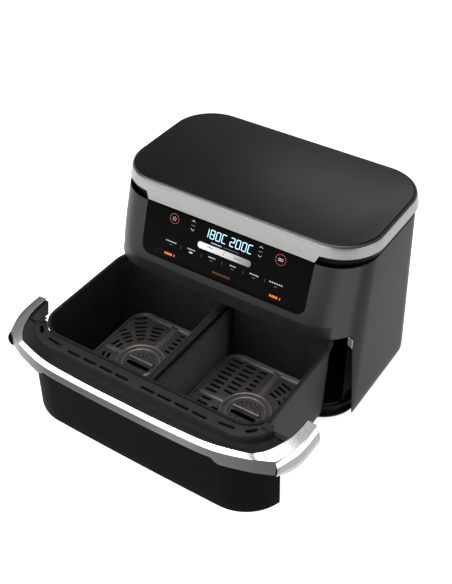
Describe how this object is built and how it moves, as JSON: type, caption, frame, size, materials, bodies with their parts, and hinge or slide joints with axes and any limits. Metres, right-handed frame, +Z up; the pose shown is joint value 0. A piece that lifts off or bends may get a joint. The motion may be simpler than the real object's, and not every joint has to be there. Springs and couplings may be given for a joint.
{
  "type": "air fryer",
  "caption": "Countertop air fryer with one wide pull-out drawer that a lift-out divider splits into side-by-side cooking zones, under a sloping touch panel.",
  "frame": {"origin": "on the floor under the feet, at the middle of the object's box with the drawer standing open", "axes": "+Z up, -Y out of the front where the drawer opens, +X to the right of a person facing the front"},
  "size_m": [0.5036, 0.5304, 0.322],
  "materials": {
    "gunmetal": "satin",
    "black_plastic": "fine texture",
    "gloss_black": "gloss",
    "steel": "brushed",
    "liner_steel": "dull",
    "nonstick": "non-stick coating",
    "warm_metal": "non-stick coating",
    "dark_grip": "satin",
    "seal": "matte",
    "rubber": "matte",
    "board": "satin",
    "element": "heat-darkened",
    "motor": "bare"
  },
  "bodies": {
    "housing": {"housing_wrap": "gunmetal", "top_cover": "black_plastic", "top_trim_band": "steel", "vent_collar": "black_plastic", "control_panel": "gloss_black", "display_module": "board", "control_board": "board", "mode_touch_bar": "steel", "base_plate": "black_plastic", "cavity_liner": "liner_steel", "heat_shield": "liner_steel", "power_board": "board", "rear_vent_cover": "black_plastic", "cable_gland": "rubber", "drawer_sensor": "black_plastic", "front_left_foot": "rubber", "front_right_foot": "rubber", "rear_left_foot": "rubber", "rear_right_foot": "rubber", "left_fan_guard": "steel", "left_heating_element": "element", "left_fan_motor": "motor", "left_temperature_sensor": "steel", "left_runner": "liner_steel", "left_mouth_bracket": "steel", "right_fan_guard": "steel", "right_heating_element": "element", "right_fan_motor": "motor", "right_temperature_sensor": "steel", "right_runner": "liner_steel", "right_mouth_bracket": "steel"},
    "drawer": {"pan": "nonstick", "drawer_fascia": "black_plastic", "drawer_ledge": "black_plastic", "handle_trim": "steel", "handle_core": "dark_grip", "drawer_magnet": "steel"},
    "divider": {"divider_plate": "warm_metal", "divider_seal": "seal"},
    "left_crisper": {"left_crisper_plate": "warm_metal", "left_plate_bumper_1": "rubber", "left_plate_bumper_2": "rubber", "left_plate_bumper_3": "rubber", "left_plate_bumper_4": "rubber"},
    "right_crisper": {"right_crisper_plate": "warm_metal", "right_plate_bumper_1": "rubber", "right_plate_bumper_2": "rubber", "right_plate_bumper_3": "rubber", "right_plate_bumper_4": "rubber"},
    "left_fan": {"left_fan_shaft": "steel", "left_impeller": "liner_steel", "left_cooling_fan": "black_plastic"},
    "right_fan": {"right_fan_shaft": "steel", "right_impeller": "liner_steel", "right_cooling_fan": "black_plastic"}
  },
  "joints": [
    {"name": "drawer_slide", "type": "slide", "parent": "housing", "child": "drawer", "axis": [0, -1, 0], "range_m": [-0.21, 0.06]},
    {"name": "divider_lift", "type": "slide", "parent": "drawer", "child": "divider", "axis": [0, 0, 1], "range_m": [0, 0.02]},
    {"name": "left_plate_lift", "type": "slide", "parent": "drawer", "child": "left_crisper", "axis": [0, 0, 1], "range_m": [0, 0.1]},
    {"name": "right_plate_lift", "type": "slide", "parent": "drawer", "child": "right_crisper", "axis": [0, 0, 1], "range_m": [0, 0.1]},
    {"name": "left_fan_spin", "type": "hinge", "parent": "housing", "child": "left_fan", "pos_m": [-0.098, 0.1192, 0.2], "axis": [0, 0, 1], "continuous": true},
    {"name": "right_fan_spin", "type": "hinge", "parent": "housing", "child": "right_fan", "pos_m": [0.098, 0.1192, 0.2], "axis": [0, 0, 1], "continuous": true}
  ]
}
